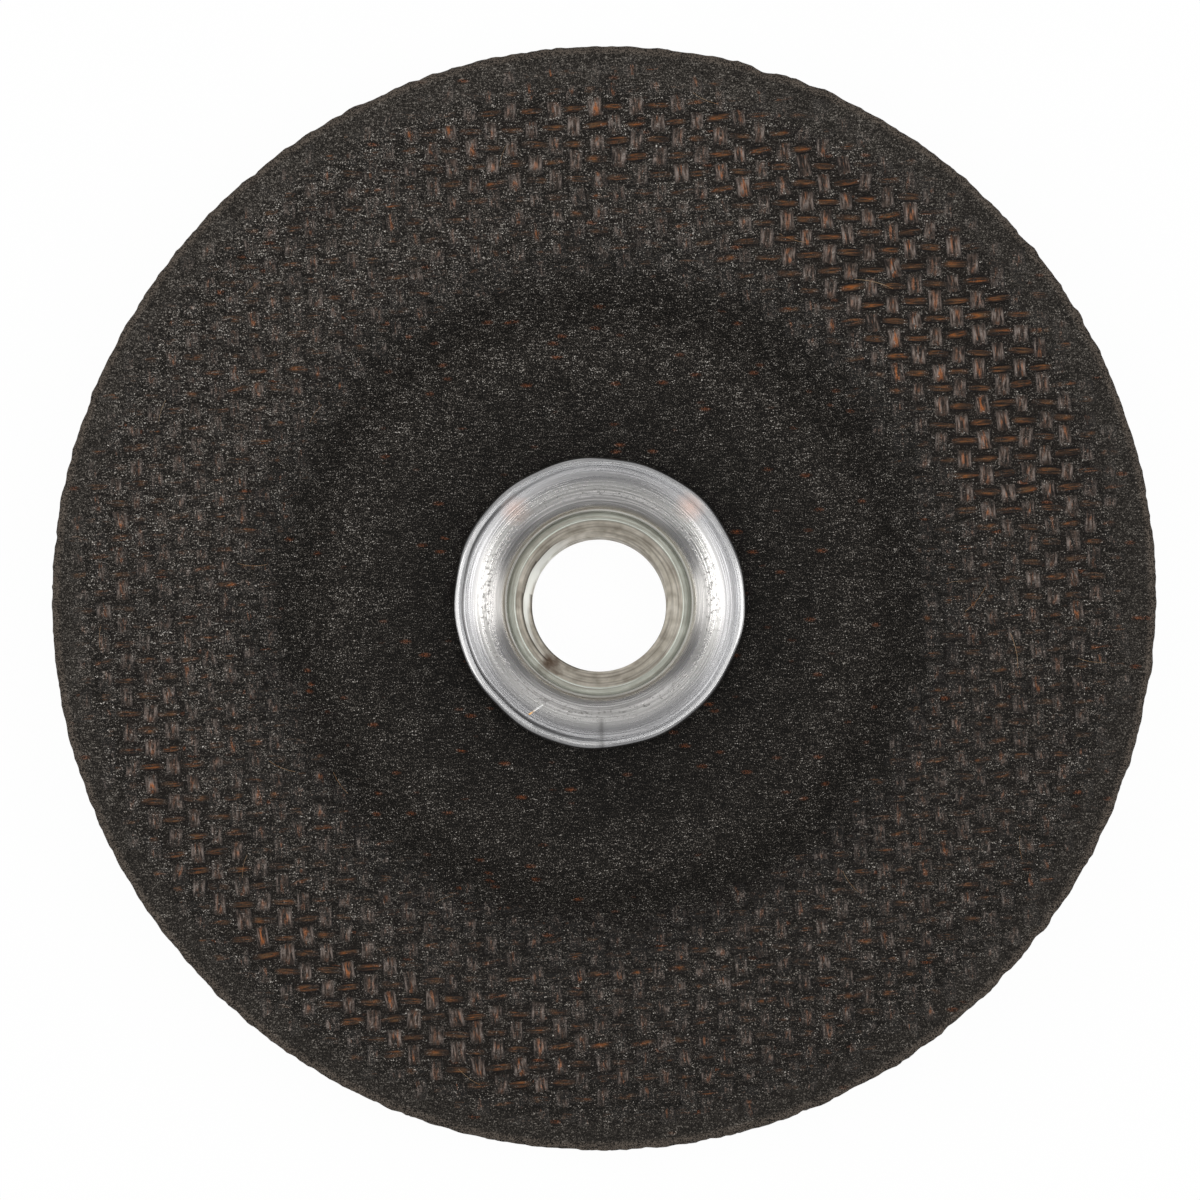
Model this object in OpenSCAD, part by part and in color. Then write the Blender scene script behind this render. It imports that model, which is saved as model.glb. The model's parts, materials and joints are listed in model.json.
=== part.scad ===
// Depressed-centre cut-off wheel with a swaged, internally threaded metal hub.
// The spindle axis is Z. The wheel lies on the hub's hexagon with its hollow work side up.

/* [Abrasive wheel] */
// Outside diameter of the wheel
wheel_d = 114.3; // [100:0.1:130]
// Thickness of the wheel, the same all over
wheel_t = 2.4; // [1.6:0.1:3.2]
// Depth of the depressed centre below the work face
dish_depth = 4.6; // [3.8:0.1:5.4]
// Diameter of the flat floor of the depressed centre
dish_floor_d = 50.4; // [46:0.1:56]
// Radius on the tight side of both bends of the dish wall
dish_bend_r = 8; // [6:0.1:10]
// Chamfer on both edges of the rim
rim_chamfer = 0.4; // [0.2:0.05:0.6]

/* [Hub nut] */
// Hexagon across its flats
hex_af = 23.8; // [22.5:0.1:27]
// Height of the hexagon under its flange
hex_h = 7; // [5:0.1:10]
// Diameter of the round bearing face at the hexagon's end
hex_face_d = 22.4; // [20:0.1:23.5]
// Angle of the chamfer on the hexagon's corners
hex_chamfer_angle = 30; // [20:1:45]
// Diameter of the flange that backs the wheel
flange_d = 38; // [34:0.1:44]
// Thickness of the flange
flange_t = 1.8; // [1.2:0.1:2.6]
// Chamfer on the flange's back edge
flange_chamfer = 0.5; // [0.2:0.1:0.8]

/* [Hub bore] */
// Bore at the crests of the 5/8-11 spindle thread
bore_d = 13.8; // [13.4:0.05:14.2]
// Mouth of the countersink above the thread
countersink_d = 17.6; // [16:0.1:18.6]
// Chamfer at the spindle end of the bore
bore_chamfer = 0.9; // [0.5:0.1:1.4]

/* [Swaged sleeve] */
// Inside diameter of the sleeve's neck
neck_d = 19.1; // [18.8:0.05:20]
// Straight height of the neck above its ledge
neck_h = 0.6; // [0.3:0.1:1]
// Wall of the sleeve and its flare
sleeve_wall = 1.4; // [1.1:0.05:1.6]
// Diameter over the flare's lip
flare_d = 30.1; // [28:0.1:32]
// Radius of the rounded lip
lip_r = 0.86; // [0.75:0.01:1]
// Outside radius of the tight bend where the neck starts to open
neck_bend_r = 0.6; // [0.4:0.05:1]
// Slope of the flare where its tight bend meets its wide one
flare_slope = 40; // [34:1:46]
// Clearance between the sleeve and the wheel
seat_gap = 0.05; // [0.02:0.01:0.1]

/* [Hidden] */
$fn = 180;
arc_steps = 16;
cut_past = 1;

wheel_r = wheel_d / 2;
bore_r = bore_d / 2;
countersink_r = countersink_d / 2;
neck_r = neck_d / 2;
sleeve_r = neck_r + sleeve_wall;
flange_r = flange_d / 2;
hex_face_r = hex_face_d / 2;

// Heights from the hexagon's end upwards
floor_z = hex_h + flange_t;
recess_z = floor_z + wheel_t;
rim_z = floor_z + dish_depth;
crest_z = recess_z + seat_gap + 2 * lip_r;

// Dish wall: two equal arcs, tangent to the flats and to each other
dish_mid_r = dish_bend_r + wheel_t / 2;
dish_angle = acos(1 - dish_depth / (2 * dish_mid_r));
dish_floor_r = dish_floor_d / 2;
rim_flat_r = dish_floor_r + 2 * dish_mid_r * sin(dish_angle);
lower_bend = [dish_floor_r, recess_z + dish_bend_r];
upper_bend = [rim_flat_r, rim_z - dish_bend_r];

// Flare: a tight bend from the upright neck, then a wide bend that levels out at the lip's crest.
// Both radii are those of the inner, visible surface.
crest_r = flare_d / 2 - lip_r;
tight_bend_r = neck_bend_r + sleeve_wall;
wide_bend_r = (crest_r - neck_r - tight_bend_r * (1 - sin(flare_slope))) / sin(flare_slope);
wide_bend = [crest_r, crest_z - wide_bend_r];
tight_bend = wide_bend + (wide_bend_r - tight_bend_r) * [-sin(flare_slope), cos(flare_slope)];
neck_top_z = tight_bend.y;
ledge_z = neck_top_z - neck_h;
thread_top_z = ledge_z - (countersink_r - bore_r);

// Points along an arc around a centre, from one angle to another
function arc(centre, r, from, to) =
    [for (k = [0 : arc_steps]) let (a = from + (to - from) * k / arc_steps) centre + r * [cos(a), sin(a)]];

// Half section of the wheel: floor, S-shaped dish wall, rim, and the hole's edge pressed to the flare
module wheel_section() {
    outer_bend_r = dish_bend_r + wheel_t;
    edge_r = wheel_r - rim_chamfer;
    seat_grow = sleeve_wall + seat_gap;
    seat_r = wide_bend_r - seat_grow;
    seat_top = 180 - asin((recess_z - wide_bend.y) / seat_r);
    polygon(concat(
        [[neck_r + seat_grow, floor_z]],
        arc(lower_bend, outer_bend_r, 270, 270 + dish_angle),
        arc(upper_bend, dish_bend_r, 90 + dish_angle, 90),
        [[edge_r, rim_z], [wheel_r, rim_z + rim_chamfer]],
        [[wheel_r, rim_z + wheel_t - rim_chamfer], [edge_r, rim_z + wheel_t]],
        arc(upper_bend, outer_bend_r, 90, 90 + dish_angle),
        arc(lower_bend, dish_bend_r, 270 + dish_angle, 270),
        arc(wide_bend, seat_r, seat_top, 90 + flare_slope),
        arc(tight_bend, tight_bend_r - seat_grow, 90 + flare_slope, 180)
    ));
}

// Half section of the hub's turned and swaged body, before it is bored
module hub_section() {
    lip = [crest_r, crest_z - lip_r];
    polygon(concat(
        [[0, 0], [sleeve_r, 0], [sleeve_r, hex_h]],
        [[flange_r - flange_chamfer, hex_h], [flange_r, hex_h + flange_chamfer]],
        [[flange_r, floor_z], [sleeve_r, floor_z]],
        arc(tight_bend, neck_bend_r, 180, 90 + flare_slope),
        arc(wide_bend, wide_bend_r - sleeve_wall, 90 + flare_slope, 90),
        arc(lip, lip_r, -90, 90),
        arc(wide_bend, wide_bend_r, 90, 90 + flare_slope),
        arc(tight_bend, tight_bend_r, 90 + flare_slope, 180),
        [[neck_r, ledge_z], [0, ledge_z]]
    ));
}

// Bore with its countersink on the work side and its chamfer on the spindle side
module bore_section() {
    polygon([
        [0, -cut_past],
        [bore_r + bore_chamfer + cut_past, -cut_past],
        [bore_r, bore_chamfer],
        [bore_r, thread_top_z],
        [countersink_r, ledge_z],
        [countersink_r, ledge_z + cut_past],
        [0, ledge_z + cut_past]
    ]);
}

// Hexagon with its end corners turned off
module hexagon() {
    corner_r = hex_af / sqrt(3);
    intersection() {
        cylinder(h = hex_h, r = corner_r, $fn = 6);
        cylinder(h = hex_h, r1 = hex_face_r, r2 = hex_face_r + hex_h / tan(hex_chamfer_angle));
    }
}

module abrasive_disc() {
    color([0.21, 0.19, 0.18])
        rotate_extrude() wheel_section();
}

module threaded_hub() {
    color("silver")
        difference() {
            union() {
                hexagon();
                rotate_extrude() hub_section();
            }
            rotate_extrude() bore_section();
        }
}

abrasive_disc();
threaded_hub();
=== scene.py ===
"""Dresses a depressed-centre cut-off wheel with a swaged, threaded hub, in the frame of its CAD solids.

The spindle axis is Z, the hollow work side faces up and the wheel rests on its hub's hexagon. Lengths are
in metres, and in millimetres inside the finishes.
"""

import json
import logging
import math
from dataclasses import dataclass, field
from enum import Enum
from functools import partial
from typing import Any, Callable, ClassVar

import bpy
import numpy as np
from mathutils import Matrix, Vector, noise


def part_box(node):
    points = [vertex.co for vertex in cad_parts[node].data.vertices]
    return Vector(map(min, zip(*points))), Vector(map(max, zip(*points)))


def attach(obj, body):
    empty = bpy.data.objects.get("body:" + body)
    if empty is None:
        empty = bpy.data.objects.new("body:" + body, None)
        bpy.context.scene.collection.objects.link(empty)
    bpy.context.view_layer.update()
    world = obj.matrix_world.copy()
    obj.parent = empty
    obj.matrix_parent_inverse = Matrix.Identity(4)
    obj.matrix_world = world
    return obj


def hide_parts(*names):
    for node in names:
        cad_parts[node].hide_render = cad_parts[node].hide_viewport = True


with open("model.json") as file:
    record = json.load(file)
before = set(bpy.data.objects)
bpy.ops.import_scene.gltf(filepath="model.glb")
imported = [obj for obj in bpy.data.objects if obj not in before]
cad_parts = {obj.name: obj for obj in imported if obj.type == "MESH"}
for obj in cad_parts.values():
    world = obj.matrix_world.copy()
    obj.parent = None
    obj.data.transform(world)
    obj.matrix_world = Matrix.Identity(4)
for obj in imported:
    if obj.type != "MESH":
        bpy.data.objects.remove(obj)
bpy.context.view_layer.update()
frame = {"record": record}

LOG = logging.getLogger("cut_off_wheel")
MM = 0.001
INCH = 25.4 * MM
RAY_START = 50 * MM

# Blender's names for the nodes that come up most. The inputs of a RANGE are a value, the two limits that it
# is clamped to, and what those limits turn into, which is 0 and 1 unless it is given.
ATTRIBUTE = "ShaderNodeAttribute"
COMBINE = "ShaderNodeCombineXYZ"
MATH = "ShaderNodeMath"
MIX = "ShaderNodeMix"
NOISE = "ShaderNodeTexNoise"
RAMP = "ShaderNodeValToRGB"
RANDOM = "FunctionNodeRandomValue"
RANGE = "ShaderNodeMapRange"
VECTOR = "ShaderNodeVectorMath"

Socket = bpy.types.NodeSocket
Outputs = bpy.types.bpy_prop_collection
Adder = Callable[..., Outputs]
Pair = tuple[float, float]
Triple = tuple[float, float, float]
Stops = tuple[tuple[float, str], ...]


class Side(Enum):
    """The two faces of the wheel, by the direction that each one faces along Z."""

    WORK = 1
    BACK = -1


class Run(Enum):
    """The two yarns of the glass mesh, by the squares of the checkerboard that each one shows on."""

    WEFT = 0
    WARP = 1


def linear(code: str) -> tuple[float, float, float, float]:
    """Turns an sRGB hex colour into linear light.

    Args:
        code: The colour as "#rrggbb".

    Returns:
        Red, green, blue and full opacity, all linear.
    """
    parts = [int(code[k : k + 2], 16) / 255 for k in (1, 3, 5)]
    red, green, blue = (c / 12.92 if c <= 0.04045 else ((c + 0.055) / 1.055) ** 2.4 for c in parts)
    return red, green, blue, 1.0


def add_node(
    tree: bpy.types.NodeTree, kind: str, *values: Any, stops: Stops = (), **settings: Any
) -> Outputs:
    """Adds one node to a tree, with its settings, its values and its links.

    Args:
        tree: The node tree of a material, a world or a modifier.
        kind: Blender's name for the kind of node.
        *values: A value, a hex colour or a socket to link for each of the first inputs, in order. A dict
            gives them by the inputs' names or numbers.
        stops: Places and hex colours of a colour ramp, if the node is one.
        **settings: The node's own properties.

    Returns:
        The new node's outputs.
    """
    node = tree.nodes.new(kind)
    for name, value in settings.items():
        setattr(node, name, value)
    inputs: dict[int | str, Any] = {}
    for k, value in enumerate(values):
        inputs.update(value if isinstance(value, dict) else {k: value})
    for key, value in inputs.items():
        if isinstance(value, Socket):
            tree.links.new(value, node.inputs[key])
        else:
            is_colour = isinstance(value, str) and value.startswith("#")
            node.inputs[key].default_value = linear(value) if is_colour else value
    for k, (place, code) in enumerate(stops):
        # A new ramp has two stops of its own.
        elements = node.color_ramp.elements
        element = elements[k] if k < 2 else elements.new(place)
        element.position = place
        element.color = linear(code)
    return node.outputs


def new_material(name: str) -> tuple[bpy.types.Material, Adder, Socket]:
    """Starts a material with an empty tree.

    Args:
        name: The material's common name and how its surface was made.

    Returns:
        The material, a function that adds a node to it, and the place on the piece in millimetres.
    """
    material = bpy.data.materials.new(name)
    material.use_nodes = True
    material.node_tree.nodes.clear()
    add = partial(add_node, material.node_tree)
    place = add("ShaderNodeTexCoord")["Object"]
    return material, add, add(VECTOR, place, {"Scale": 1 / MM}, operation="SCALE")[0]


def close_material(
    add: Adder, shader: dict[str, Any], height: Socket | None = None, relief: Pair = (0.0, 0.0)
) -> None:
    """Ends a material in one shader, with a bump where it has a height.

    Args:
        add: Adds a node to the material.
        shader: The shader's values and links.
        height: The height that the bump follows.
        relief: Depth of the bump in millimetres, and its strength.
    """
    if height is not None:
        depth, strength = relief
        bump = add("ShaderNodeBump", {"Height": height, "Distance": depth * MM, "Strength": strength})
        shader = {**shader, "Normal": bump[0]}
    surface = add("ShaderNodeBsdfPrincipled", shader)[0]
    add("ShaderNodeOutputMaterial", {"Surface": surface})


def layered(add: Adder, base: Socket, *layers: tuple[Socket, Socket | str]) -> Socket:
    """Lays colours over a base, one after another.

    Args:
        add: Adds a node to the material.
        base: The colour underneath.
        *layers: For each layer, how much of it shows and its colour.

    Returns:
        The colour that is seen.
    """
    for share, colour in layers:
        base = add(MIX, {0: share, 6: base, 7: colour}, data_type="RGBA")[2]
    return base


def from_axis(add: Adder, place: Socket) -> tuple[Socket, Socket]:
    """Measures a place from the spindle axis.

    Args:
        add: Adds a node to the tree.
        place: The place on the piece.

    Returns:
        The place without its height, and its distance from the axis.
    """
    flat = add(VECTOR, place, (1, 1, 0), operation="MULTIPLY")[0]
    return flat, add(VECTOR, flat, operation="LENGTH")["Value"]


def arc(centre: Pair, radius: float, start: float, end: float, count: int) -> np.ndarray:
    """Lists points along an arc of a half section.

    Args:
        centre: Radius and height of the arc's centre.
        radius: The arc's own radius.
        start: First angle in degrees, from the outward direction.
        end: Last angle in degrees.
        count: Number of points, both ends included.

    Returns:
        An array of radius and height pairs.
    """
    angles = np.radians(np.linspace(start, end, count))
    return np.stack([centre[0] + radius * np.cos(angles), centre[1] + radius * np.sin(angles)], axis=1)


def line(start: Pair, end: Pair, count: int) -> np.ndarray:
    """Lists evenly spaced points along a straight stretch of a half section, both ends included."""
    return np.linspace(start, end, count)


def ramp(values: np.ndarray, low: float, high: float) -> np.ndarray:
    """Rises smoothly from 0 at one limit to 1 at the other."""
    t = np.clip((values - low) / (high - low), 0, 1)
    return t * t * (3 - 2 * t)


def rough(points: np.ndarray, size: float) -> np.ndarray:
    """Gives a smooth random height for each point.

    Args:
        points: An array whose last axis is x, y and z.
        size: About the width of one bump.

    Returns:
        Heights from about -1 to 1, one for each point.
    """
    flat = points.reshape(-1, 3) / size
    heights = np.fromiter((noise.noise(Vector(p)) for p in flat), float, len(flat))
    return heights.reshape(points.shape[:-1])


def spin(outline: np.ndarray, segments: int) -> tuple[np.ndarray, np.ndarray, np.ndarray]:
    """Spreads a half section round the spindle axis.

    Args:
        outline: Radius and height pairs.
        segments: Steps round the axis.

    Returns:
        Angle, radius and height of each point, with one row for each pair and one column for each step.
    """
    turn = np.linspace(0, math.tau, segments, endpoint=False)[None, :]
    radius, height = (np.repeat(outline[:, k : k + 1], segments, axis=1) for k in (0, 1))
    return np.repeat(turn, len(outline), axis=0), radius, height


def to_places(turns: np.ndarray, radius: np.ndarray, height: np.ndarray) -> np.ndarray:
    """Turns angles, radii and heights into x, y and z on a last axis."""
    return np.stack([radius * np.cos(turns), radius * np.sin(turns), height], axis=-1)


def into_scene(name: str, data: bpy.types.ID) -> bpy.types.Object:
    """Makes an object of a mesh, a lamp or a camera, at the origin.

    Args:
        name: The object's name.
        data: What the object shows.

    Returns:
        The object, linked to the scene.
    """
    made = bpy.data.objects.new(name, data)
    bpy.context.scene.collection.objects.link(made)
    return made


def closed_rings(name: str, points: np.ndarray, sharp_deg: float) -> bpy.types.Object:
    """Makes a closed ring-shaped mesh from a grid that joins up both ways.

    Args:
        name: The piece's name.
        points: Places with one row for each point of the section and one column for each angle.
        sharp_deg: Edges that turn more than this stay sharp.

    Returns:
        The new piece, smooth apart from its sharp edges, with its faces outwards.
    """
    rows, columns = points.shape[:2]
    index = np.arange(rows * columns).reshape(rows, columns)
    beyond = np.roll(index, -1, axis=0)
    corners = [index, np.roll(index, -1, axis=1), np.roll(beyond, -1, axis=1), beyond]
    quads = np.stack(corners, axis=-1).reshape(-1, 4)
    places = points.reshape(-1, 3)
    a, b, c = (places[quads[:, k]] for k in range(3))
    if np.einsum("ij,ij->", a, np.cross(b, c)) < 0:
        quads = quads[:, ::-1]
    mesh = bpy.data.meshes.new(name)
    mesh.from_pydata(places.tolist(), [], quads.tolist())
    mesh.shade_smooth()
    mesh.set_sharp_from_angle(angle=math.radians(sharp_deg))
    return into_scene(name, mesh)


def keep_values(piece: bpy.types.Object, name: str, values: np.ndarray) -> None:
    """Keeps one number for each point of a piece as a named attribute."""
    attribute = piece.data.attributes.new(name, "FLOAT", "POINT")
    attribute.data.foreach_set("value", values.astype(np.float32).ravel())


def open_tree(name: str, inputs: dict[str, str]) -> tuple[bpy.types.NodeTree, Adder, Outputs]:
    """Starts a geometry node tree with named inputs and one mesh as its result.

    Args:
        name: The tree's name.
        inputs: The kind of socket for each input.

    Returns:
        The tree, a function that adds a node to it, and the sockets of its inputs.
    """
    tree = bpy.data.node_groups.new(name, "GeometryNodeTree")
    for label, kind in inputs.items():
        tree.interface.new_socket(label, in_out="INPUT", socket_type=f"NodeSocket{kind}")
    tree.interface.new_socket("Mesh", in_out="OUTPUT", socket_type="NodeSocketGeometry")
    add = partial(add_node, tree)
    return tree, add, add("NodeGroupInput")


def off_ring(add: Adder, given: Outputs, far: Socket) -> Socket:
    """Says which points lie inside a tree's inner radius or outside its outer one.

    Args:
        add: Adds a node to the tree.
        given: The tree's inputs.
        far: How far each point lies from the middle.

    Returns:
        A socket that is true for the points to delete.
    """
    inside = add(MATH, far, given["Inner radius"], operation="LESS_THAN")[0]
    outside = add(MATH, far, given["Outer radius"], operation="GREATER_THAN")[0]
    return add(MATH, inside, outside, operation="ADD")[0]


def cast_rays(add: Adder, given: Outputs, source: Socket, aim: Socket | Triple) -> Outputs:
    """Casts a ray from each point at the wheel.

    Args:
        add: Adds a node to the tree.
        given: The tree's inputs.
        source: Where each ray starts.
        aim: The direction of the rays.

    Returns:
        The sockets of what the rays hit.
    """
    wheel = add("GeometryNodeObjectInfo", {"Object": given["Wheel"]})["Geometry"]
    ray = {"Source Position": source, "Ray Direction": aim, "Ray Length": 2 * RAY_START}
    return add("GeometryNodeRaycast", {"Target Geometry": wheel, **ray})


def strew(
    add: Adder, given: Outputs, points: Socket, shape: Socket, turn: Socket, normal: Socket, scale: Socket
) -> None:
    """Ends a tree with a copy of a shape on each point, realised and with its finish.

    Args:
        add: Adds a node to the tree.
        given: The tree's inputs.
        points: Where the copies go.
        shape: What is copied.
        turn: How far each copy is turned about the upright.
        normal: Which way the face under each copy looks.
        scale: How large each copy is.
    """
    euler = add(COMBINE, {2: turn})[0]
    heading = add("FunctionNodeEulerToRotation", euler)[0]
    upright = {"Rotation": heading, "Vector": normal}
    stand = add("FunctionNodeAlignRotationToVector", upright, axis="Z")[0]
    copy = {"Points": points, "Instance": shape, "Rotation": stand, "Scale": scale}
    solid = add("GeometryNodeRealizeInstances", add("GeometryNodeInstanceOnPoints", copy)[0])[0]
    dressed = add("GeometryNodeSetMaterial", {"Geometry": solid, "Material": given["Finish"]})[0]
    add("NodeGroupOutput", dressed)


def run_tree(name: str, tree: bpy.types.NodeTree, values: dict[str, Any]) -> bpy.types.Object:
    """Runs a geometry node tree once and keeps its result as a plain mesh.

    Args:
        name: The piece's name.
        tree: The tree to run.
        values: A value for each of the tree's named inputs.

    Returns:
        The finished piece, with no modifier left on it.
    """
    piece = into_scene(name, bpy.data.meshes.new(name))
    modifier = piece.modifiers.new(tree.name, "NODES")
    modifier.node_group = tree
    for item in tree.interface.items_tree:
        if item.in_out == "INPUT":
            modifier[item.identifier] = values[item.name]
    bpy.context.view_layer.update()
    evaluated = piece.evaluated_get(bpy.context.evaluated_depsgraph_get())
    mesh = bpy.data.meshes.new_from_object(evaluated)
    piece.modifiers.clear()
    piece.data = mesh
    return piece


def hand_over(piece: bpy.types.Object, node: str) -> None:
    """Ties a finished piece to the root body, and hides the solid that it stands for.

    Args:
        piece: The finished piece.
        node: The solid that it replaces.
    """
    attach(piece, "root")
    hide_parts(node)
    LOG.info("%s: %d faces", piece.name, len(piece.data.polygons))


@dataclass(frozen=True)
class BareZone:
    """A stretch of the rim where the black face is worn thin and the glass yarn shows brown.

    Attributes:
        heading: Direction of its middle in degrees, from +X.
        core: Half angle that is fully bare.
        fade: Half angle at which it ends.
        inner: Radius where it starts, in millimetres.
        amount: How bare its core is, from 0 to 1.
        edge: Width over which it starts, in millimetres.
    """

    heading: float
    core: float
    fade: float
    inner: float
    amount: float
    edge: float = 5.0


# The first one goes all round, since a little yarn shows everywhere.
BARE_ZONES = (
    BareZone(heading=0, core=178, fade=180, inner=34.0, amount=0.19),
    BareZone(heading=40, core=18, fade=36, inner=36.5, amount=0.92),
    BareZone(heading=80, core=14, fade=42, inner=41.0, amount=0.66),
    BareZone(heading=12, core=4, fade=20, inner=41.0, amount=0.50),
    BareZone(heading=182, core=10, fade=34, inner=46.0, amount=0.38),
    BareZone(heading=212, core=10, fade=32, inner=42.0, amount=0.60),
    BareZone(heading=242, core=14, fade=32, inner=40.0, amount=0.70),
)


def bareness(add: Adder, place: Socket, unit: float) -> Socket:
    """Adds the nodes that say how bare the yarn is, in a material or in a modifier.

    Args:
        add: Adds a node to the tree.
        place: The place on the wheel.
        unit: One millimetre in the unit of the place.

    Returns:
        A socket that runs from 0, covered, to the amount of the strongest zone.
    """
    flat, radius = from_axis(add, place)
    heading = add(VECTOR, flat, operation="NORMALIZE")[0]
    total: Socket | None = None
    for zone in BARE_ZONES:
        middle, core, fade = map(math.radians, (zone.heading, zone.core, zone.fade))
        towards = (math.cos(middle), math.sin(middle), 0)
        dot = add(VECTOR, heading, towards, operation="DOT_PRODUCT")["Value"]
        limits = (math.cos(fade), math.cos(core), 0, zone.amount)
        wide = add(RANGE, dot, *limits, interpolation_type="SMOOTHSTEP")[0]
        start = (zone.inner * unit, (zone.inner + zone.edge) * unit)
        deep = add(RANGE, radius, *start, interpolation_type="SMOOTHSTEP")[0]
        share = add(MATH, wide, deep, operation="MULTIPLY")[0]
        total = share if total is None else add(MATH, total, share, operation="MAXIMUM")[0]
    return total


@dataclass(frozen=True)
class Fleece:
    """The black fleece and grain that both the wheel's face and its covered yarn show, in millimetres.

    Attributes:
        shade_reach: Radius where the shades start, and where they end.
        shades: How the hollow, with more resin pressed into it, is darker than the rim, with a ring of
        painted shade on the dish's steep wall.
        tones: Colours from the gaps between the fibres up to the grains that glint.
        streak: Length and width of the fibre streaks.
        grain: Width of the abrasive grains that show through, drawn coarse enough to show.
        patch: Width of the patches where more grain shows.
        shares: How much streaks, grains and patches count in the height.
        uneven: Rise in the grain that shows for each millimetre along each axis, most at the upper left: a
        painted light fall-off, standing in for stronger light from that side.
        margin: Radius where the resin starts to fill the face at the rim, and where it is full.
        smooth: How much of the grain that resin hides.
        filled_level: How light that resin is, on the scale of the tones.
    """

    shade_reach: Pair = (15.0, 57.0)
    shades: Stops = (
        (0.00, "#aaaaaa"),
        (0.16, "#cacaca"),
        (0.30, "#ebebeb"),
        (0.41, "#d0d0d0"),
        (0.49, "#d9d9d9"),
        (0.60, "#f9f9f9"),
        (1.00, "#f4f4f4"),
    )
    tones: Stops = (
        (0.44, "#100f0d"),
        (0.60, "#1f1c19"),
        (0.68, "#37332e"),
        (0.76, "#7e7870"),
        (0.87, "#f4efe6"),
    )
    streak: Pair = (0.9, 0.20)
    grain: float = 0.13
    patch: float = 1.7
    shares: Triple = (0.29, 0.78, 0.13)
    uneven: Triple = (-0.00018, 0.00028, 0.0)
    margin: Pair = (52.5, 54.5)
    smooth: float = 0.45
    filled_level: float = 0.70

    def nodes(self, add: Adder, place: Socket, lift: float = 0.0) -> tuple[Socket, Socket, Socket]:
        """Adds the fleece's nodes to a material.

        Args:
            add: Adds a node to the material.
            place: The place on the piece, in millimetres.
            lift: How much more grain shows than on the wheel's face.

        Returns:
            The fleece's colour, its height, and the distance from the spindle axis in millimetres.
        """
        _, radius = from_axis(add, place)
        # The hollow is darker, and a ring of painted shade darkens the dish's steep wall.
        outward = add(RANGE, radius, *self.shade_reach)[0]
        shade = add(RAMP, outward, stops=self.shades)["Color"]
        # Painted light: more grain shows towards the upper left, standing in for stronger light from that
        # side.
        painted_light_slant = add(VECTOR, place, self.uneven, operation="DOT_PRODUCT")["Value"]
        shown = add(MATH, painted_light_slant, lift, operation="ADD")[0]
        along = {"Rotation": (0, 0, -GlassMesh.TILT), "Scale": (1 / self.streak[0], 1 / self.streak[1], 1)}
        turned = add("ShaderNodeMapping", place, along)[0]
        streaks = add(NOISE, turned, {"Scale": 1.0, "Detail": 3.0})[0]
        grains = add(NOISE, place, {"Scale": 1 / self.grain, "Detail": 1.0, "Roughness": 0.6})[0]
        patches = add(NOISE, place, {"Scale": 1 / self.patch, "Detail": 3.0})[0]
        of_streaks, of_grains, of_patches = self.shares
        fine = add(MATH, grains, of_grains, operation="MULTIPLY")[0]
        height = add(MATH, streaks, of_streaks, fine, operation="MULTIPLY_ADD")[0]
        raised = add(MATH, height, shown, operation="ADD")[0]
        grainy = add(MATH, patches, of_patches, raised, operation="MULTIPLY_ADD")[0]
        filled = add(RANGE, radius, *self.margin, 0, self.smooth)[0]
        level = add(MIX, {0: filled, 2: grainy, 3: self.filled_level}, data_type="FLOAT")[0]
        colour = add(RAMP, level, stops=self.tones)["Color"]
        shaded = add(MIX, {0: 1.0, 6: colour, 7: shade}, data_type="RGBA", blend_type="MULTIPLY")[2]
        return shaded, height, radius


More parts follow.
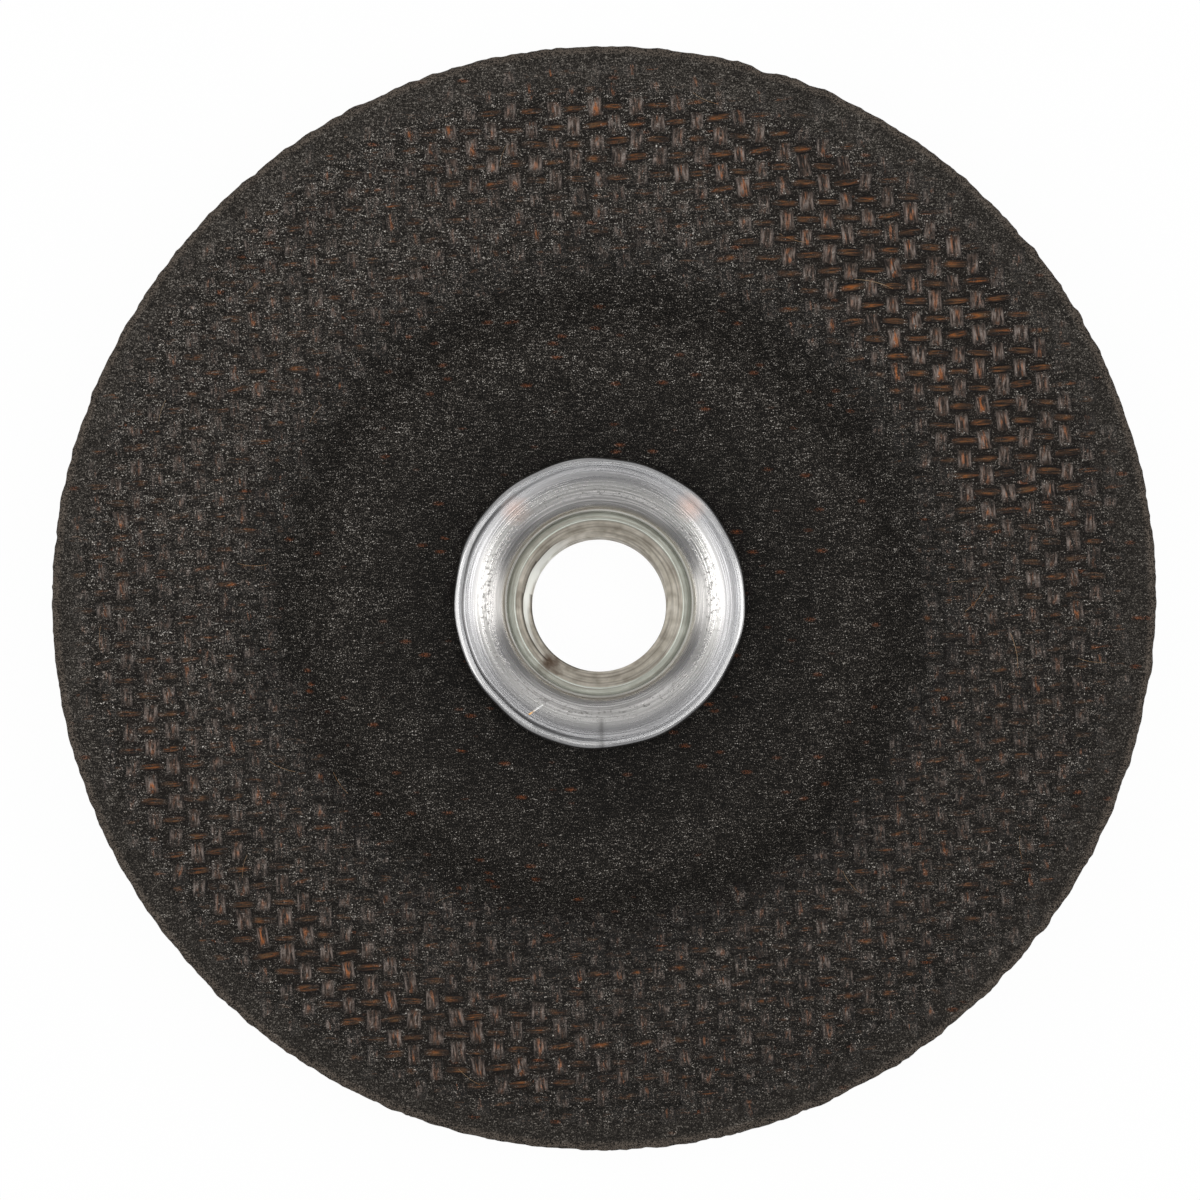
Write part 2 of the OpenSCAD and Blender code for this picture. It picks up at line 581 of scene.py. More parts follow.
@dataclass(frozen=True)
class ScrimFinish:
    """Black phenolic resin and fleece, hot-pressed over glass mesh: matt, streaky, with pin-point sparkles.

    Attributes:
        stain: Colour of the darker resin where the yarn lies bare.
        stain_patch: Width of its patches, in millimetres.
        stain_end: Radius where it ends and where it is full, in millimetres.
        fleck: Spacing of the orange resin flecks, in millimetres.
        fleck_form: How much closer the flecks are along each axis of the mesh.
        fleck_colour: Colour of the flecks.
        fleck_rarity: Share of the places for a fleck that stay without one.
        rubbed: Colour of the paler grain that shows at the rim's rubbed edge.
        relief: Depth of the grain in millimetres, and its strength.
    """

    stain: str = "#1d1814"
    stain_patch: float = 1.1
    stain_end: Pair = (53.5, 51.0)
    fleck: float = 1.0
    fleck_form: Triple = (0.55, 1.4, 1.0)
    fleck_colour: str = "#7a4220"
    fleck_rarity: float = 0.94
    rubbed: str = "#5f564d"
    relief: Pair = (0.10, 0.9)

    def build(self) -> bpy.types.Material:
        """Makes the material.

        Returns:
            The finished material.
        """
        material, add, place = new_material("phenolic scrim, hot-pressed")
        face, height, radius = Fleece().nodes(add, place)

        # Darker resin where the yarn lies bare.
        bare = bareness(add, place, 1.0)
        patches = add(NOISE, place, {"Scale": 1 / self.stain_patch, "Detail": 3.0})[0]
        uneven = add(RANGE, patches, 0.3, 0.55, 0, 0.55)[0]
        within = add(RANGE, radius, *self.stain_end)[0]
        lying = add(MATH, bare, within, operation="MULTIPLY")[0]
        stain = add(MATH, lying, uneven, operation="MULTIPLY")[0]

        # A few orange flecks all over, stretched along the mesh.
        along = {"Rotation": (0, 0, -GlassMesh.TILT), "Scale": self.fleck_form}
        stretched = add("ShaderNodeMapping", place, along)[0]
        flecks = add("ShaderNodeTexVoronoi", stretched, {"Scale": 1 / self.fleck})
        hue = add("ShaderNodeSeparateColor", flecks["Color"])
        rare = add(MATH, hue[1], self.fleck_rarity, operation="GREATER_THAN")[0]
        spot = add(RANGE, flecks["Distance"], 0.42, 0.05, 0, 0.75)[0]
        ragged = add(RANGE, height, 0.46, 0.60)[0]
        broken = add(MATH, spot, ragged, operation="MULTIPLY")[0]
        fleck = add(MATH, rare, broken, operation="MULTIPLY")[0]

        edge = add(ATTRIBUTE, attribute_name=AbrasiveWheel.RUBBED)["Fac"]
        worn = add(MATH, edge, ragged, operation="MULTIPLY")[0]
        layers = ((stain, self.stain), (fleck, self.fleck_colour), (worn, self.rubbed))
        colour = layered(add, face, *layers)
        shader = {"Base Color": colour, "Roughness": 0.75, "IOR": 1.5, "Specular IOR Level": 0.10}
        close_material(add, shader, height, self.relief)
        return material


@dataclass(frozen=True)
class YarnFinish:
    """Glass yarn soaked in phenolic resin and woven: brown where bare, black where the fleece covers it.

    Attributes:
        run: Which of the two yarns it is.
        tones: Dark, middle and light colour of the bare strands.
        resin: Colour of the resin between the strands.
        pale: How much of the light colour its outer strands have.
        gap_shade_from: Where the painted shadow beside it starts, from 0 in its middle to 1 at its edge.
        painted_gap_shade: Colour of that painted shadow.
        strand_form: Waves of the strands' pattern across and along half a float.
        pool_form: Waves of the resin's pools across and along half a float.
        unlike: How far apart the patterns of two floats lie.
        tuft: Width of the tufts of fleece that stay on bare yarn, in millimetres.
        lift: How much more grain shows on covered yarn than on the wheel's face.
        relief: Depth of the strands in millimetres, and its strength.
    """

    run: Run
    tones: tuple[str, str, str]
    resin: str
    pale: float
    gap_shade_from: float
    painted_gap_shade: str = "#0c0d10"
    strand_form: Triple = (3.2, 0.8, 0.0)
    pool_form: Triple = (1.7, 0.9, 0.0)
    unlike: float = 41.0
    tuft: float = 0.7
    lift: float = 0.008
    relief: Pair = (0.10, 0.8)

    def build(self) -> bpy.types.Material:
        """Makes the material.

        Returns:
            The finished material.
        """
        material, add, place = new_material(f"resin-soaked glass yarn, woven, {self.run.name.lower()}")
        strand = add(ATTRIBUTE, attribute_name=GlassMesh.STRAND)["Vector"]
        across, along, _ = add("ShaderNodeSeparateXYZ", strand)
        bare = add(ATTRIBUTE, attribute_name=GlassMesh.BARE)["Fac"]
        tone = add(ATTRIBUTE, attribute_name=GlassMesh.TONE)["Fac"]

        # Strands run along each float, and no two floats are alike.
        shift = add(MATH, tone, self.unlike, operation="MULTIPLY")[0]
        offset = add(COMBINE, {2: shift})[0]
        stretched = add(VECTOR, strand, self.strand_form, offset, operation="MULTIPLY_ADD")[0]
        strands = add(NOISE, stretched, {"Scale": 1.0, "Detail": 3.0})[0]
        dark, middle, light = self.tones
        yarn = add(RAMP, strands, stops=((0.36, dark), (0.50, middle), (0.66, light)))["Color"]
        edge = add(MATH, across, operation="ABSOLUTE")[0]
        outer = add(RANGE, edge, 0.30, 0.65, 0, self.pale)[0]
        broken = add(RANGE, strands, 0.40, 0.60)[0]
        rays = add(MATH, outer, broken, operation="MULTIPLY")[0]

        # Resin has pooled between the strands in the middle of some floats.
        inside = add(RANGE, edge, 0.55, 0.15)[0]
        moved = add(VECTOR, strand, self.pool_form, offset, operation="MULTIPLY_ADD")[0]
        pools = add(NOISE, moved, {"Scale": 1.3, "Detail": 1.0})[0]
        pool = add(RANGE, pools, 0.46, 0.60)[0]
        core = add(MATH, inside, pool, operation="MULTIPLY")[0]
        thin = add(RANGE, strands, 0.44, 0.58)[0]
        amber = add(MATH, core, thin, operation="MULTIPLY")[0]
        some = add(MATH, amber, tone, operation="MULTIPLY")[0]
        # Painted shadow: a dark band along the float's sides, where it stands above the face.
        painted_gap_shade = add(RANGE, edge, self.gap_shade_from, self.gap_shade_from + 0.25, 0, 0.95)[0]
        outlined = layered(add, yarn, (rays, light), (some, self.resin), (painted_gap_shade, self.painted_gap_shade))

        # Fleece and grain hide most of the yarn away from the bare stretches.
        fleece, height, _ = Fleece().nodes(add, place, self.lift)
        tufts = add(NOISE, place, {"Scale": 1 / self.tuft, "Detail": 2.0})[0]
        torn = add(MATH, tufts, -2.0, -0.4, operation="MULTIPLY_ADD")[0]
        frayed = add(MATH, strands, 1.3, torn, operation="MULTIPLY_ADD")[0]
        ragged = add(MATH, height, 1.4, frayed, operation="MULTIPLY_ADD")[0]
        shown = add(MATH, bare, ragged, operation="ADD", use_clamp=True)[0]
        end = add(MATH, along, operation="ABSOLUTE")[0]
        uneven = add(MATH, strands, 2.4, -1.2, operation="MULTIPLY_ADD")[0]
        ending = add(MATH, end, uneven, operation="ADD")[0]
        fade = add(RANGE, ending, 0.46, 1.02, 0.94, 0.05)[0]
        share = add(MATH, shown, fade, operation="MULTIPLY")[0]
        colour = add(MIX, {0: share, 6: fleece, 7: outlined}, data_type="RGBA")[2]
        crest = add(MATH, strands, 0.8, height, operation="MULTIPLY_ADD")[0]
        shader = {"Base Color": colour, "Roughness": 0.6, "IOR": 1.55, "Specular IOR Level": 0.12}
        close_material(add, shader, crest, self.relief)
        return material


@dataclass(frozen=True)
class FibreFinish:
    """Single glass fibre, drawn: smooth and pale, with amber resin along parts of it.

    Attributes:
        amber: Length of the parts with resin, in millimetres.
        tones: Colours of the bare glass and of the resin.
    """

    amber: float = 1.6
    tones: Stops = ((0.42, "#a58a68"), (0.60, "#8a6034"))

    def build(self) -> bpy.types.Material:
        """Makes the material.

        Returns:
            The finished material.
        """
        material, add, place = new_material("glass fibre, drawn")
        resin = add(NOISE, place, {"Scale": 1 / self.amber, "Detail": 2.0})[0]
        colour = add(RAMP, resin, stops=self.tones)["Color"]
        close_material(add, {"Base Color": colour, "Roughness": 0.3, "IOR": 1.52})
        return material


@dataclass(frozen=True)
class SwagedSteelFinish:
    """Steel burnished by the swaging tool: bright flare with drawn rings and a pitted belt, in millimetres.

    Attributes:
        reach: Radius where the tones start, and where they end.
        tones: Greenish at the neck, bright half way up, darker below the lip as painted shade for its dim
        reflections, and lighter on the lip.
        ring: Spacing of the rings that the tool drew.
        ring_change: Waves of the rings' pattern in each radian round the axis.
        ring_inside: Radius where the rings get stronger, and where they are full.
        pit: Width of the largest pits.
        belt_inside: Radius where the pitted belt starts, and where it is full.
        belt_outside: Radius where the belt ends, and where it is full.
        copper_at: Places with a copper cast, where the tool picked up a coating.
        copper_reach: Distance at which the cast ends, and at which it is full.
        scratch_from: Start of the one deep scratch.
        scratch_to: End of that scratch.
        scratch_edge: Distance from the scratch's middle where it ends, and where it is full.
        relief: Depth of the rings and pits, and its strength.
    """

    reach: Pair = (9.0, 15.5)
    tones: Stops = (
        (0.06, "#8e9288"),
        (0.14, "#dedbd6"),
        (0.34, "#e6e3df"),
        (0.50, "#cfcdc9"),
        (0.64, "#979696"),
        (0.82, "#8a8a8b"),
        (1.00, "#cac9c7"),
    )
    ring: float = 0.16
    ring_change: float = 1.3
    ring_inside: Pair = (13.2, 11.8)
    pit: float = 0.34
    belt_inside: Pair = (10.8, 11.5)
    belt_outside: Pair = (13.0, 11.8)
    copper_at: tuple[Triple, ...] = ((9.4, 9.9, 12.9), (-8.6, 9.4, 12.6))
    copper_reach: Pair = (2.8, 1.0)
    scratch_from: Pair = (-7.3, -11.65)
    scratch_to: Pair = (-5.8, -10.6)
    scratch_edge: Pair = (0.11, 0.03)
    relief: Pair = (0.042, 0.7)

    def build(self) -> bpy.types.Material:
        """Makes the material.

        Returns:
            The finished material.
        """
        material, add, place = new_material("steel, swaged and burnished")
        flat, radius = from_axis(add, place)
        sides = add("ShaderNodeSeparateXYZ", add(VECTOR, flat, operation="NORMALIZE")[0])
        turn_x, turn_y = (add(MATH, sides[k], self.ring_change, operation="MULTIPLY")[0] for k in (0, 1))
        step = add(MATH, radius, 1 / self.ring, operation="MULTIPLY")[0]
        polar = add(COMBINE, turn_x, turn_y, step)[0]
        rings = add(NOISE, polar, {"Scale": 1.0, "Detail": 2.0})[0]
        share = add(RANGE, radius, *self.reach)[0]
        # Painted shade: the steel is darker just below the lip, for the dim reflections there.
        metal = add(RAMP, share, stops=self.tones)["Color"]
        drawn = add(RANGE, rings, 0.35, 0.65, 0.44, 0.0)[0]
        inner = add(RANGE, radius, *self.ring_inside, 0.6)[0]
        lines = add(MATH, drawn, inner, operation="MULTIPLY")[0]

        # Pits in one belt, and a real smudge with painted shade in the lip's groove.
        pits = add(NOISE, place, {"Scale": 1 / self.pit, "Detail": 4.0, "Roughness": 0.7})[0]
        spots = add(RANGE, pits, 0.53, 0.66, 0, 0.6)[0]
        near = add(RANGE, radius, *self.belt_outside)[0]
        away = add(RANGE, radius, *self.belt_inside)[0]
        belt = add(MATH, near, away, operation="MULTIPLY")[0]
        pitted = add(MATH, spots, belt, operation="MULTIPLY")[0]
        dirt = add(ATTRIBUTE, attribute_name=ThreadedHub.DIRT_AND_SHADE)["Fac"]
        layers = [(lines, "#55534f"), (pitted, "#4c4844"), (dirt, "#2f2d2b")]
        for at in self.copper_at:
            off = add(VECTOR, place, at, operation="DISTANCE")["Value"]
            ragged = add(MATH, rings, 2.0, off, operation="MULTIPLY_ADD")[0]
            cast = add(RANGE, ragged, *self.copper_reach, 0, 0.26)[0]
            layers.append((cast, "#d29c80"))

        # One deep scratch across the flare, bright at its upper end and golden at its lower one.
        run, rise = (self.scratch_to[k] - self.scratch_from[k] for k in (0, 1))
        length = math.hypot(run, rise)
        from_start = add(VECTOR, flat, (*self.scratch_from, 0), operation="SUBTRACT")[0]
        lengthwise, sideways = (run / length, rise / length, 0), (-rise / length, run / length, 0)
        along = add(VECTOR, from_start, lengthwise, operation="DOT_PRODUCT")["Value"]
        across = add(VECTOR, from_start, sideways, operation="DOT_PRODUCT")["Value"]
        inside = add(MATH, along, length / 2, length / 2, operation="COMPARE")[0]
        offset = add(MATH, across, operation="ABSOLUTE")[0]
        thin = add(RANGE, offset, *self.scratch_edge)[0]
        scratch = add(MATH, inside, thin, operation="MULTIPLY")[0]
        bright = add(RANGE, along, 0.3, 0.9)[0]
        shine = add(MIX, {0: bright, 6: "#d9a766", 7: "#fbfaf6"}, data_type="RGBA")[2]
        colour = layered(add, metal, *layers, (scratch, shine))
        polish = add(RANGE, rings, 0.3, 0.7, 0.34, 0.22)[0]
        height = add(MATH, pitted, -1.0, rings, operation="MULTIPLY_ADD")[0]
        shader = {"Base Color": colour, "Metallic": 1.0, "Roughness": polish}
        close_material(add, shader, height, self.relief)
        return material


@dataclass(frozen=True)
class TurnedSteelFinish:
    """Steel turned and tapped, then dulled by handling: beige-grey, blotchy, rusty where the thread starts.

    Lengths are in millimetres.

    Attributes:
        blotch: Width of the blotches.
        tones: Colours of the blotches.
        ledge: Radius where the greenish ledge starts, and where it is full.
        edge_highlight: Radius of the painted highlight along the countersink's edge, and half its width.
        ring: Spacing of the rings that the turning tool left.
        ring_change: Waves of the rings' pattern in each millimetre along each axis.
        rust_at: Place of the rust, on the countersink.
        rust_reach: How far the rust spreads.
        rust_fade: Width over which it ends.
        relief: Depth of the blotches, and its strength.
    """

    blotch: float = 1.4
    tones: Stops = ((0.30, "#aca497"), (0.50, "#cec7ba"), (0.70, "#e6e0d5"))
    ledge: Pair = (8.72, 8.84)
    edge_highlight: Pair = (8.78, 0.06)
    ring: float = 0.2
    ring_change: Triple = (0.12, 0.12, 0.0)
    rust_at: Triple = (-4.9, -6.0, 8.5)
    rust_reach: float = 1.7
    rust_fade: float = 1.5
    relief: Pair = (0.03, 0.5)

    def build(self) -> bpy.types.Material:
        """Makes the material.

        Returns:
            The finished material.
        """
        material, add, place = new_material("steel, turned and tapped")
        blotches = add(NOISE, place, {"Scale": 1 / self.blotch, "Detail": 5.0})[0]
        dulled = add(RAMP, blotches, stops=self.tones)["Color"]
        flat, radius = from_axis(add, place)
        ledge = add(RANGE, radius, *self.ledge, 0, 0.85)[0]
        # Painted highlight: a thin bright line along the countersink's edge.
        edge_highlight = add(MATH, radius, *self.edge_highlight, operation="COMPARE")[0]
        step = add(MATH, radius, 1 / self.ring, operation="MULTIPLY")[0]
        turned = add(COMBINE, {2: step})[0]
        shifted = add(VECTOR, flat, self.ring_change, turned, operation="MULTIPLY_ADD")[0]
        rings = add(NOISE, shifted, {"Scale": 1.0, "Detail": 2.0})[0]
        drawn = add(RANGE, rings, 0.55, 0.38, 0, 0.5)[0]
        # Painted light where the thread runs out: a highlight on the cut's flank, and a shadow along its
        # upper edge.
        cut = add(ATTRIBUTE, attribute_name=ThreadedHub.LIT_CUT)["Fac"]
        dirt = add(ATTRIBUTE, attribute_name=ThreadedHub.DIRT_AND_SHADE)["Fac"]
        away = add(VECTOR, place, self.rust_at, operation="DISTANCE")["Value"]
        ragged = add(MATH, blotches, 3.0, away, operation="MULTIPLY_ADD")[0]
        rust = add(RANGE, ragged, self.rust_reach + self.rust_fade, self.rust_reach, 0, 0.9)[0]
        layers = (
            (ledge, "#8b8f85"),
            (edge_highlight, "#e4e8de"),
            (drawn, "#6f675c"),
            (cut, "#f2f2ea"),
            (dirt, "#3b342c"),
            (rust, "#553c28"),
        )
        colour = layered(add, dulled, *layers)
        dull = add(RANGE, blotches, 0.3, 0.7, 0.55, 0.38)[0]
        shader = {"Base Color": colour, "Metallic": 0.6, "Roughness": dull}
        close_material(add, shader, blotches, self.relief)
        return material


@dataclass(frozen=True)
class PlatedSteelFinish:
    """Zinc-plated steel from a cold header: even, satin and slightly mottled, in millimetres.

    Attributes:
        mottle: Width of the mottling.
        tones: Colours of the mottling.
        grain: Width of the plating's grain, drawn coarse enough to show.
        relief: Depth of the grain, and its strength.
    """

    mottle: float = 2.5
    tones: Stops = ((0.3, "#a5a7a8"), (0.7, "#c9cac9"))
    grain: float = 0.15
    relief: Pair = (0.008, 0.5)

    def build(self) -> bpy.types.Material:
        """Makes the material.

        Returns:
            The finished material.
        """
        material, add, place = new_material("steel, zinc-plated")
        mottling = add(NOISE, place, {"Scale": 1 / self.mottle, "Detail": 5.0})[0]
        fine = add(NOISE, place, {"Scale": 1 / self.grain, "Detail": 2.0})[0]
        colour = add(RAMP, mottling, stops=self.tones)["Color"]
        satin = add(RANGE, mottling, 0.3, 0.7, 0.28, 0.42)[0]
        shader = {"Base Color": colour, "Metallic": 1.0, "Roughness": satin}
        close_material(add, shader, fine, self.relief)
        return material


@dataclass(frozen=True)
class PaperFinish:
    """White paper sweep: looks white itself, and still takes the wheel's shadow.

    Attributes:
        glow: Share of its own white, where it is seen directly or in the metal.
        tone: Colour of the paper where it takes light.
    """

    glow: float = 0.97
    tone: str = "#f2f2f0"

    def build(self) -> bpy.types.Material:
        """Makes the material.

        Returns:
            The finished material.
        """
        material, add, _ = new_material("paper, white")
        ray = add("ShaderNodeLightPath")
        seen = add(MATH, ray["Is Camera Ray"], ray["Is Glossy Ray"], operation="MAXIMUM")[0]
        through = add(MATH, seen, ray["Is Transmission Ray"], operation="MAXIMUM")[0]
        share = add(MATH, through, self.glow, operation="MULTIPLY")[0]
        paper = add("ShaderNodeBsdfDiffuse", {"Color": self.tone})[0]
        white = add("ShaderNodeEmission", {"Color": "#ffffff", "Strength": 1.0})[0]
        shader = add("ShaderNodeMixShader", share, paper, white)[0]
        add("ShaderNodeOutputMaterial", {"Surface": shader})
        return material


@dataclass
class ThreadedHub:
    """The metal hub: a hexagon nut with a flange, whose sleeve is swaged over the wheel's hole.

    Attributes:
        segments: Steps round the axis, a multiple of six so that the hexagon's corners are exact.
        thread_start: Angle in degrees where the thread's root comes out into the countersink.
        thread_rise: How far the root has risen past the countersink there.
        crest_wear: How far the thread's crests are worn back.
        run_out_heading: Direction in degrees in which the painted shadow and highlight of the thread's last
        turn show most.
        run_out_fade: Cosines of the angles from there where it starts to show, and where it shows fully.
        least_cut: Depth below which the countersink doesn't show the thread.
        full_cut: Depth at which the painted highlight on the thread's flank is full.
        edge_fade: How dark the painted shadow is on the row of points above the cut's edge.
        free_from: Radius where the flare starts to wave.
        lip_square: Power of the lip's curve, 2 for an arc and more for a squarer one.
        lip_wave: How far the lip's outline waves in and out.
        waves: Share, number round the lip and phase of those waves.
        lip_lift: How far the lip's crest waves up and down.
        lifts: Number round the lip and phase of those.
        ledge_crown: Height of the ledge's low bead.
        groove_turn: Angle where the lip's fine groove is deepest.
        groove_least: Depth of the groove on the far side, as a share of its depth there.
        groove_zone: Depth below the lip's crest to which the groove goes.
        groove_dirt: How dark the painted shade in the groove is.
        smudge_heading: Angle in degrees of the dark smudge across the flare.
        smudge_from: Radius where the smudge starts, and where it is full.
    """

    NODE: ClassVar[str] = "threaded_hub"
    SLOT: ClassVar[str] = "hub_metal"
    DIRT_AND_SHADE: ClassVar[str] = "dirt"
    LIT_CUT: ClassVar[str] = "cut"
    SHARP_DEG: ClassVar[float] = 28.0
    FINISHES: ClassVar[dict[str, int]] = {"flare": 0, "bore": 1, "ledge": 1, "nut": 2, "hexagon": 2}

    segments: int = 288
    hexagon_flats: float = 23.8 * MM
    hexagon_height: float = 7.0 * MM
    hexagon_face: float = 11.2 * MM
    hexagon_slope: float = 30.0
    flange_radius: float = 19.0 * MM
    flange_thickness: float = 1.8 * MM
    flange_chamfer: float = 0.5 * MM
    bore_chamfer: float = 0.9 * MM
    countersink_radius: float = 8.8 * MM
    thread_pitch: float = INCH / 11
    thread_major: float = INCH * 5 / 16
    thread_flank: float = 30.0
    thread_start: float = 236.0
    thread_rise: float = 0.15 * MM
    crest_wear: float = 0.13 * MM
    run_out_heading: float = 192.0
    run_out_fade: Pair = (0.15, 0.6)
    least_cut: float = 0.02 * MM
    full_cut: float = 0.2 * MM
    edge_fade: float = 0.6
    neck_radius: float = 9.55 * MM
    neck_height: float = 0.6 * MM
    sleeve_wall: float = 1.4 * MM
    neck_bend: float = 0.6 * MM
    flare_radius: float = 15.2 * MM
    flare_slope: float = 40.0
    free_from: float = 11.5 * MM
    lip_radius: float = 0.86 * MM
    lip_square: float = 4.0
    lip_wave: float = 0.13 * MM
    waves: tuple[Triple, ...] = ((0.5, 3, 0.6), (0.35, 7, 2.1), (0.3, 13, 4.0))
    lip_lift: float = 0.05 * MM
    lifts: Pair = (5, 1.0)
    ledge_crown: float = 0.05 * MM
    groove_radius: float = 14.2 * MM
    groove_width: float = 0.22 * MM
    groove_depth: float = 0.10 * MM
    groove_turn: float = math.pi + 0.3
    groove_least: float = 0.25
    groove_zone: float = 0.3 * MM
    groove_dirt: float = 0.85
    smudge_heading: float = 271.0
    smudge_width: float = 0.5 * MM
    smudge_from: Pair = (11.6 * MM, 12.6 * MM)
    smudge_dirt: float = 0.5
    bore_radius: float = field(init=False)
    crest_height: float = field(init=False)
    ledge_height: float = field(init=False)
    tight: float = field(init=False)
    tight_at: Pair = field(init=False)
    wide: float = field(init=False)
    wide_at: Pair = field(init=False)

    def __post_init__(self) -> None:
        """Takes the bore and the lip's height from the frame, and works out the flare's two bends."""
        mounts = {mount["name"]: mount for mount in frame["record"]["mounts"]}
        self.bore_radius = mounts["spindle_thread"]["dims"]["r_mm"] * MM
        self.crest_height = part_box(self.NODE)[1].z
        crest = self.flare_radius - self.lip_radius
        sine, cosine = math.sin(math.radians(self.flare_slope)), math.cos(math.radians(self.flare_slope))
        self.tight = self.neck_bend + self.sleeve_wall
        self.wide = (crest - self.neck_radius - self.tight * (1 - sine)) / sine
        self.wide_at = (crest, self.crest_height - self.wide)
        between = self.wide - self.tight
        self.tight_at = (crest - between * sine, self.wide_at[1] + between * cosine)
        self.ledge_height = self.tight_at[1] - self.neck_height

    def sections(self) -> list[tuple[str, np.ndarray]]:
        """Lists the stretches of the hub's half section, in order round it.

        Returns:
            For each stretch a name and its radius and height pairs.
        """
        bend = 90 + self.flare_slope
        ledge, neck_top = self.ledge_height, self.tight_at[1]
        sleeve = self.neck_radius + self.sleeve_wall
        top = self.hexagon_height
        seat = top + self.flange_thickness
        rim, chamfer = self.flange_radius, self.flange_chamfer
        return [
            ("bore", line((self.bore_radius, 0), (self.countersink_radius, ledge), 90)),
            ("ledge", line((self.countersink_radius, ledge), (self.neck_radius, ledge), 9)[1:]),
            ("flare", line((self.neck_radius, ledge), (self.neck_radius, neck_top), 5)[1:]),
            ("flare", arc(self.tight_at, self.tight, 180, bend, 18)[1:]),
            ("flare", arc(self.wide_at, self.wide, bend, 90, 44)[1:]),
            ("flare", self.lip()[1:]),
            ("flare", arc(self.wide_at, self.wide - self.sleeve_wall, 90, bend, 10)[1:]),
            ("flare", arc(self.tight_at, self.neck_bend, bend, 180, 5)[1:]),
            ("nut", line((sleeve, neck_top), (sleeve, seat), 3)[1:]),
            ("nut", line((sleeve, seat), (rim, seat), 4)[1:]),
            ("nut", line((rim, seat), (rim, top + chamfer), 3)[1:]),
            ("nut", line((rim, top + chamfer), (rim - chamfer, top), 2)[1:]),
            ("hexagon", line((sleeve, top), (sleeve, 0), 26)),
            ("nut", line((self.hexagon_face, 0), (self.bore_radius + self.bore_chamfer, 0), 4)[1:-1]),
        ]

    def lip(self) -> np.ndarray:
        """Draws the lip's edge, squarer than an arc, because the tool pressed its top flat.

        Returns:
            Radius and height pairs, from the lip's crest down to its seat.
        """
        angles = np.radians(np.linspace(90, -90, 24))
        power = 2 / self.lip_square
        out = np.abs(np.cos(angles)) ** power
        up = np.sign(np.sin(angles)) * np.abs(np.sin(angles)) ** power
        middle = (self.wide_at[0], self.crest_height - self.lip_radius)
        return np.stack([middle[0] + self.lip_radius * out, middle[1] + self.lip_radius * up], axis=1)

    def bore_wall(self, turn: np.ndarray, height: np.ndarray) -> np.ndarray:
        """Gives the bore's radius, with its thread running out into the countersink.

        Args:
            turn: Angles round the axis.
            height: Heights above the hexagon's end.

        Returns:
            A radius for each pair of angle and height.
        """
        start = math.radians(self.thread_start)
        start_height = self.ledge_height - (self.countersink_radius - self.thread_major) + self.thread_rise
        phase = (height - start_height) / self.thread_pitch - (turn - start) / math.tau
        from_root = np.abs(phase - np.round(phase)) * self.thread_pitch
        # The root is flat over an eighth of the pitch.
        flank = (from_root - self.thread_pitch / 16) / math.tan(math.radians(self.thread_flank))
        crest = self.bore_radius + self.crest_wear
        thread = np.clip(self.thread_major - np.maximum(flank, 0), crest, self.thread_major)
        chamfer = self.bore_radius + self.bore_chamfer - height
        return np.maximum(thread, np.maximum(chamfer, self.countersink(height)))

    def countersink(self, height: np.ndarray) -> np.ndarray:
        """Gives the countersink's radius at each height."""
        return self.countersink_radius - (self.ledge_height - height)

    def run_out(
        self, turn: np.ndarray, radius: np.ndarray, height: np.ndarray, bore: np.ndarray
    ) -> tuple[np.ndarray, np.ndarray]:
        """Paints a shadow and a highlight where the thread's last turn cuts into the countersink.

        Args:
            turn: Angles round the axis, in rows from the hexagon's end upwards.
            radius: Radius of each point.
            height: Height of each point.
            bore: Which rows belong to the bore.

        Returns:
            The painted shadow at each point along the cut's upper edge, and the painted highlight on the
            flank below it.
        """
        depth = np.minimum(radius - self.countersink(height), radius - self.bore_radius) * bore
        cut = depth > self.least_cut
        edge = (cut[:-1] & ~cut[1:]) * bore[1:]
        shade = np.zeros_like(radius)
        shade[1:] = edge
        shade[2:] += self.edge_fade * edge[:-1]
        seen = ramp(np.cos(turn - math.radians(self.run_out_heading)), *self.run_out_fade)
        return shade * seen, ramp(depth, self.least_cut, self.full_cut) * seen

    def hexagon_wall(self, turn: np.ndarray, height: np.ndarray) -> np.ndarray:
        """Gives the hexagon's radius, with its end corners turned off.

        Args:
            turn: Angles round the axis.
            height: Heights above the hexagon's end.

        Returns:
            A radius for each pair of angle and height.
        """
        sixth = math.pi / 3
        from_flat = np.mod(turn, sixth) - sixth / 2
        flats = self.hexagon_flats / 2 / np.cos(from_flat)
        turned = self.hexagon_face + height / math.tan(math.radians(self.hexagon_slope))
        return np.minimum(flats, turned)

    def build(self) -> bpy.types.Object:
        """Makes the hub's mesh, one closed skin.

        Returns:
            The hub, with the number of its finish on each face.
        """
        stretches = self.sections()
        names = [name for name, outline in stretches for _ in outline]
        turns, radius, height = spin(np.concatenate([outline for _, outline in stretches]), self.segments)
        kinds = np.array(names)
        for kind, wall in (("bore", self.bore_wall), ("hexagon", self.hexagon_wall)):
            rows = kinds == kind
            radius[rows] = wall(turns[rows], height[rows])

        # The ledge is a low bead.
        across = (radius - self.countersink_radius) / (self.neck_radius - self.countersink_radius)
        bead = np.sin(math.pi * np.clip(across, 0, 1)) * (kinds == "ledge")[:, None]
        height = height + self.ledge_crown * bead

